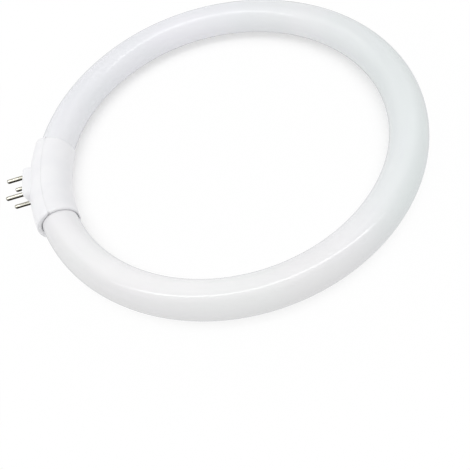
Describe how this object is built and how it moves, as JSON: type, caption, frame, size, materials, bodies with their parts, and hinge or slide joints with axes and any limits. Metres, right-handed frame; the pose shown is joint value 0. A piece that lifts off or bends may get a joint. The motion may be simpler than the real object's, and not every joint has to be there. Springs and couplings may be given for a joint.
{
  "type": "circular fluorescent tube",
  "caption": "Slim milky glass tube bent into a ring; its sealed ends meet in a split moulded base, whose brass contact pins plug into a lampholder to light a ring lamp.",
  "frame": {"origin": "below the middle of the whole lamp, on the surface that it lies on", "axes": "+Z along the ring's axis, up from the surface; +X from the base towards the far side of the ring, so the pins point along -X"},
  "size_m": [0.155, 0.1446, 0.0151],
  "materials": {
    "milky_glass": "gloss, coated white inside so that it can't be seen through",
    "base_plastic": "satin, as moulded",
    "pin_brass": "turned, bright",
    "wire_metal": "plain drawn wire"
  },
  "bodies": {
    "root": {"glass_tube": "milky_glass", "base_outer_half": "base_plastic", "base_inner_half": "base_plastic", "contact_pin_1": "pin_brass", "contact_pin_2": "pin_brass", "contact_pin_3": "pin_brass", "contact_pin_4": "pin_brass", "lead_wire_1": "wire_metal", "lead_wire_2": "wire_metal", "lead_wire_3": "wire_metal", "lead_wire_4": "wire_metal"}
  },
  "joints": []
}
